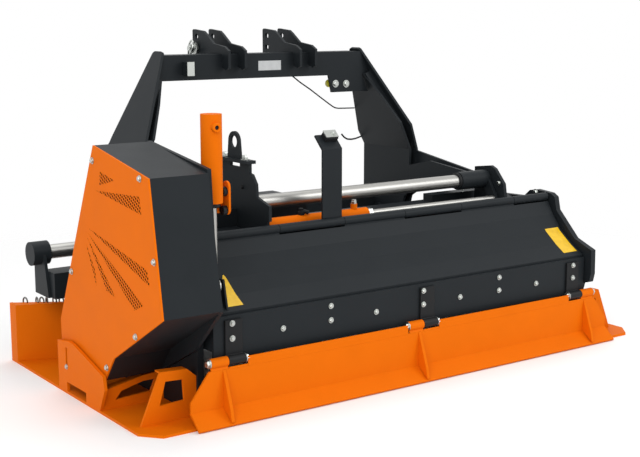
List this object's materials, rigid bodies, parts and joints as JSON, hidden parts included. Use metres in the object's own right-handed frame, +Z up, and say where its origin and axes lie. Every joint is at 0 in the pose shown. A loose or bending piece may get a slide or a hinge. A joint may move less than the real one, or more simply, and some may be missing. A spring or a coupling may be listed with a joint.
{
  "type": "stone crusher",
  "caption": "Tractor-mounted stone crusher with a hammer rotor under a hinged hood, side skids and a headstock that slides sideways.",
  "frame": {"origin": "centre of the footprint at ground level, under the skids", "axes": "+Z up, +Y forwards to the tractor and its hitch, +X to the right seen from behind"},
  "size_m": [2.344, 1.3, 1.291],
  "materials": {
    "orange_paint": "satin powder coat",
    "dark_paint": "satin powder coat",
    "black_paint": "satin",
    "chromed_bar": "ground and chromed",
    "zinc_pin": "zinc plated",
    "bare_steel": "forged"
  },
  "bodies": {
    "root": {"side_plate_left": "dark_paint", "side_plate_right": "dark_paint", "chamber_roof": "dark_paint", "front_beam": "dark_paint", "front_beam_stub": "dark_paint", "front_apron": "dark_paint", "chain_curtain": "bare_steel", "skid_shoes": "orange_paint", "skid_uprights": "orange_paint", "skid_braces": "orange_paint", "skid_deflectors": "orange_paint", "belt_back_plate": "dark_paint", "belt_cover": "dark_paint", "belt_cover_panel": "orange_paint", "rotor_bearings": "black_paint", "hinge_knuckles_fixed": "dark_paint", "support_plate": "dark_paint", "lifting_eye": "dark_paint", "rear_slide_bar": "chromed_bar", "rear_bar_bracket": "dark_paint", "front_slide_bar": "chromed_bar", "front_bar_bracket_left": "dark_paint", "front_bar_bracket_right": "dark_paint", "drive_tube": "dark_paint", "gearbox": "dark_paint", "shift_cylinder_barrel": "orange_paint", "hood_cylinder_fork": "orange_paint", "hood_cylinder_bosses": "black_paint", "hose_holder": "dark_paint"},
    "headstock": {"headstock_leg_left": "dark_paint", "headstock_leg_right": "dark_paint", "headstock_cross_beam": "dark_paint", "headstock_lower_beam": "dark_paint", "headstock_arm": "dark_paint", "top_link_plates": "dark_paint", "top_link_pin": "zinc_pin", "shift_cylinder_rod": "chromed_bar"},
    "rotor": {"rotor_drum": "dark_paint", "rotor_hammers": "bare_steel"},
    "input_shaft": {"input_shaft": "bare_steel"},
    "hood": {"hood_shell": "dark_paint", "hood_end_plates": "dark_paint", "hood_lower_panel": "dark_paint", "hinge_knuckles_hood": "dark_paint", "flap_hinge_brackets": "dark_paint", "hood_cylinder_lugs": "dark_paint"},
    "flap": {"flap_plate": "orange_paint", "flap_ribs": "orange_paint", "flap_hinge_sleeves": "orange_paint"},
    "hood_cylinder": {"hood_cylinder_barrel": "orange_paint"},
    "hood_cylinder_rod": {"hood_cylinder_rod": "chromed_bar"}
  },
  "joints": [
    {"name": "side_shift", "type": "slide", "parent": "root", "child": "headstock", "axis": [1, 0, 0], "range_m": [-0.24, 0]},
    {"name": "rotor_turn", "type": "hinge", "parent": "root", "child": "rotor", "pos_m": [0, -0.04, 0.29], "axis": [1, 0, 0], "continuous": true},
    {"name": "input_turn", "type": "hinge", "parent": "root", "child": "input_shaft", "pos_m": [-0.3, 0.25, 0.6], "axis": [0, 1, 0], "continuous": true},
    {"name": "hood_open", "type": "hinge", "parent": "root", "child": "hood", "pos_m": [0, -0.28, 0.585], "axis": [-1, 0, 0], "range_deg": [0, 55]},
    {"name": "flap_swing", "type": "hinge", "parent": "hood", "child": "flap", "pos_m": [0, -0.528, 0.21], "axis": [-1, 0, 0], "range_deg": [0, 60]},
    {"name": "cylinder_swing", "type": "hinge", "parent": "root", "child": "hood_cylinder", "pos_m": [-0.85, -0.443, 0.77], "axis": [-1, 0, 0], "range_deg": [0, 18]},
    {"name": "cylinder_stroke", "type": "slide", "parent": "hood_cylinder", "child": "hood_cylinder_rod", "axis": [0, 0, 1], "range_m": [0, 0.19]}
  ],
  "couplings": [
    {"joint": "cylinder_swing", "follows": "hood_open", "ratio": 0.32},
    {"joint": "cylinder_stroke", "follows": "hood_open", "m_per_rad": 0.1924}
  ]
}
